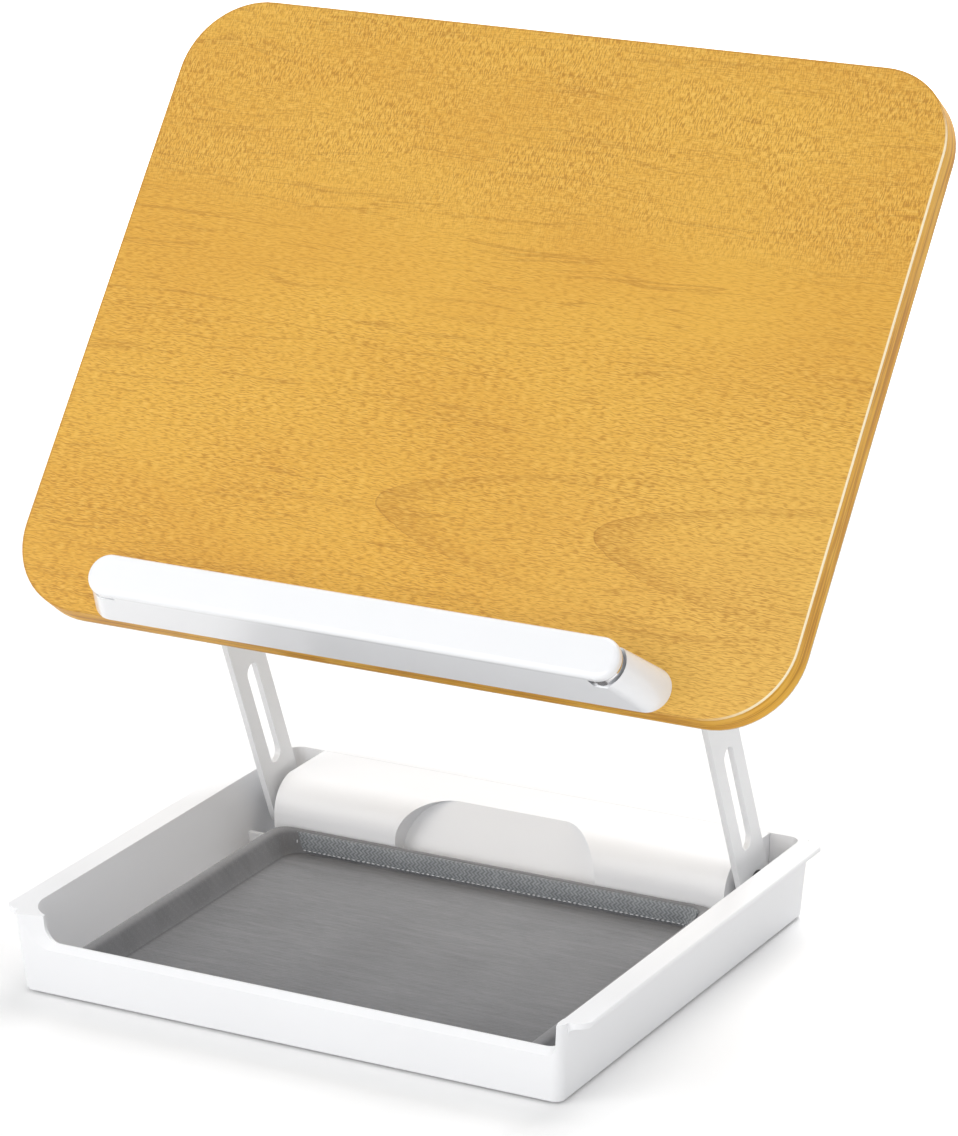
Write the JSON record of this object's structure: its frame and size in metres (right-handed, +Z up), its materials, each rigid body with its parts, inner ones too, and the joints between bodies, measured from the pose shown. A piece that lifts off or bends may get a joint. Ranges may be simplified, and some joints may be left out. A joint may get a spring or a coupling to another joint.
{
  "type": "folding reading stand with tray",
  "caption": "Folding desk reading stand: tilting wood-look board with a ledge and swing-out bar, slotted steel arms, and a white storage tray with a grey fabric liner.",
  "frame": {"origin": "middle of the tray, on the surface that the rubber feet stand on", "axes": "+X to the reader's right, +Y away from the reader, +Z up"},
  "size_m": [0.38, 0.2774, 0.3827],
  "materials": {
    "white_plastic": "satin moulded white",
    "dark_nylon": "black nylon",
    "screw_steel": "zinc plated",
    "dark_rubber": "matt rubber",
    "card": "grey board",
    "grey_fabric": "woven grey with a soft nap",
    "band_fabric": "embossed blue-grey with white stitches",
    "white_painted_steel": "white powder coat",
    "shaft_steel": "turned",
    "black_steel": "black oxide",
    "board_wood": "fibreboard core",
    "wood_laminate": "satin beech-look laminate",
    "edge_wood": "satin edge band",
    "bright_metal": "polished"
  },
  "bodies": {
    "tray": {"tray_shell": "white_plastic", "hinge_cover": "white_plastic", "shaft_block_left": "white_plastic", "shaft_block_right": "white_plastic", "friction_sleeves": "dark_nylon", "block_screws": "screw_steel", "cover_screws": "screw_steel", "rubber_feet": "dark_rubber", "liner_card": "card", "liner_felt": "grey_fabric", "liner_back_band": "band_fabric"},
    "arms": {"arm_left": "white_painted_steel", "arm_right": "white_painted_steel", "lower_shaft": "shaft_steel", "shaft_spacers": "dark_nylon", "shaft_washers": "dark_nylon", "shaft_nuts": "black_steel"},
    "board": {"board_core": "board_wood", "board_face": "wood_laminate", "board_backing": "wood_laminate", "board_edge_band": "edge_wood", "board_bracket_left": "white_painted_steel", "board_bracket_right": "white_painted_steel", "bracket_screws": "screw_steel", "pivot_bolts": "screw_steel", "pivot_washers": "dark_nylon", "pivot_nuts": "black_steel", "ledge_body": "white_plastic", "ledge_screws": "screw_steel", "bar_pivot_post": "bright_metal", "bar_clip": "screw_steel"},
    "page_bar": {"bar_cover": "white_plastic", "bar_base": "white_plastic"}
  },
  "joints": [
    {"name": "arms_fold", "type": "hinge", "parent": "tray", "child": "arms", "pos_m": [0, 0.0871, 0.0237], "axis": [1, 0, 0], "range_deg": [-20, 68.5]},
    {"name": "board_tilt", "type": "hinge", "parent": "arms", "child": "board", "pos_m": [0, 0.02494, 0.1815], "axis": [1, 0, 0], "range_deg": [-120.46, 35.24]},
    {"name": "page_bar_swing", "type": "hinge", "parent": "board", "child": "page_bar", "pos_m": [0.1189, -0.02967, 0.1547], "axis": [0, 0.7865, -0.6176], "range_deg": [0, 90]}
  ],
  "couplings": [
    {"joint": "board_tilt", "follows": "arms_fold", "ratio": -1.7571}
  ]
}
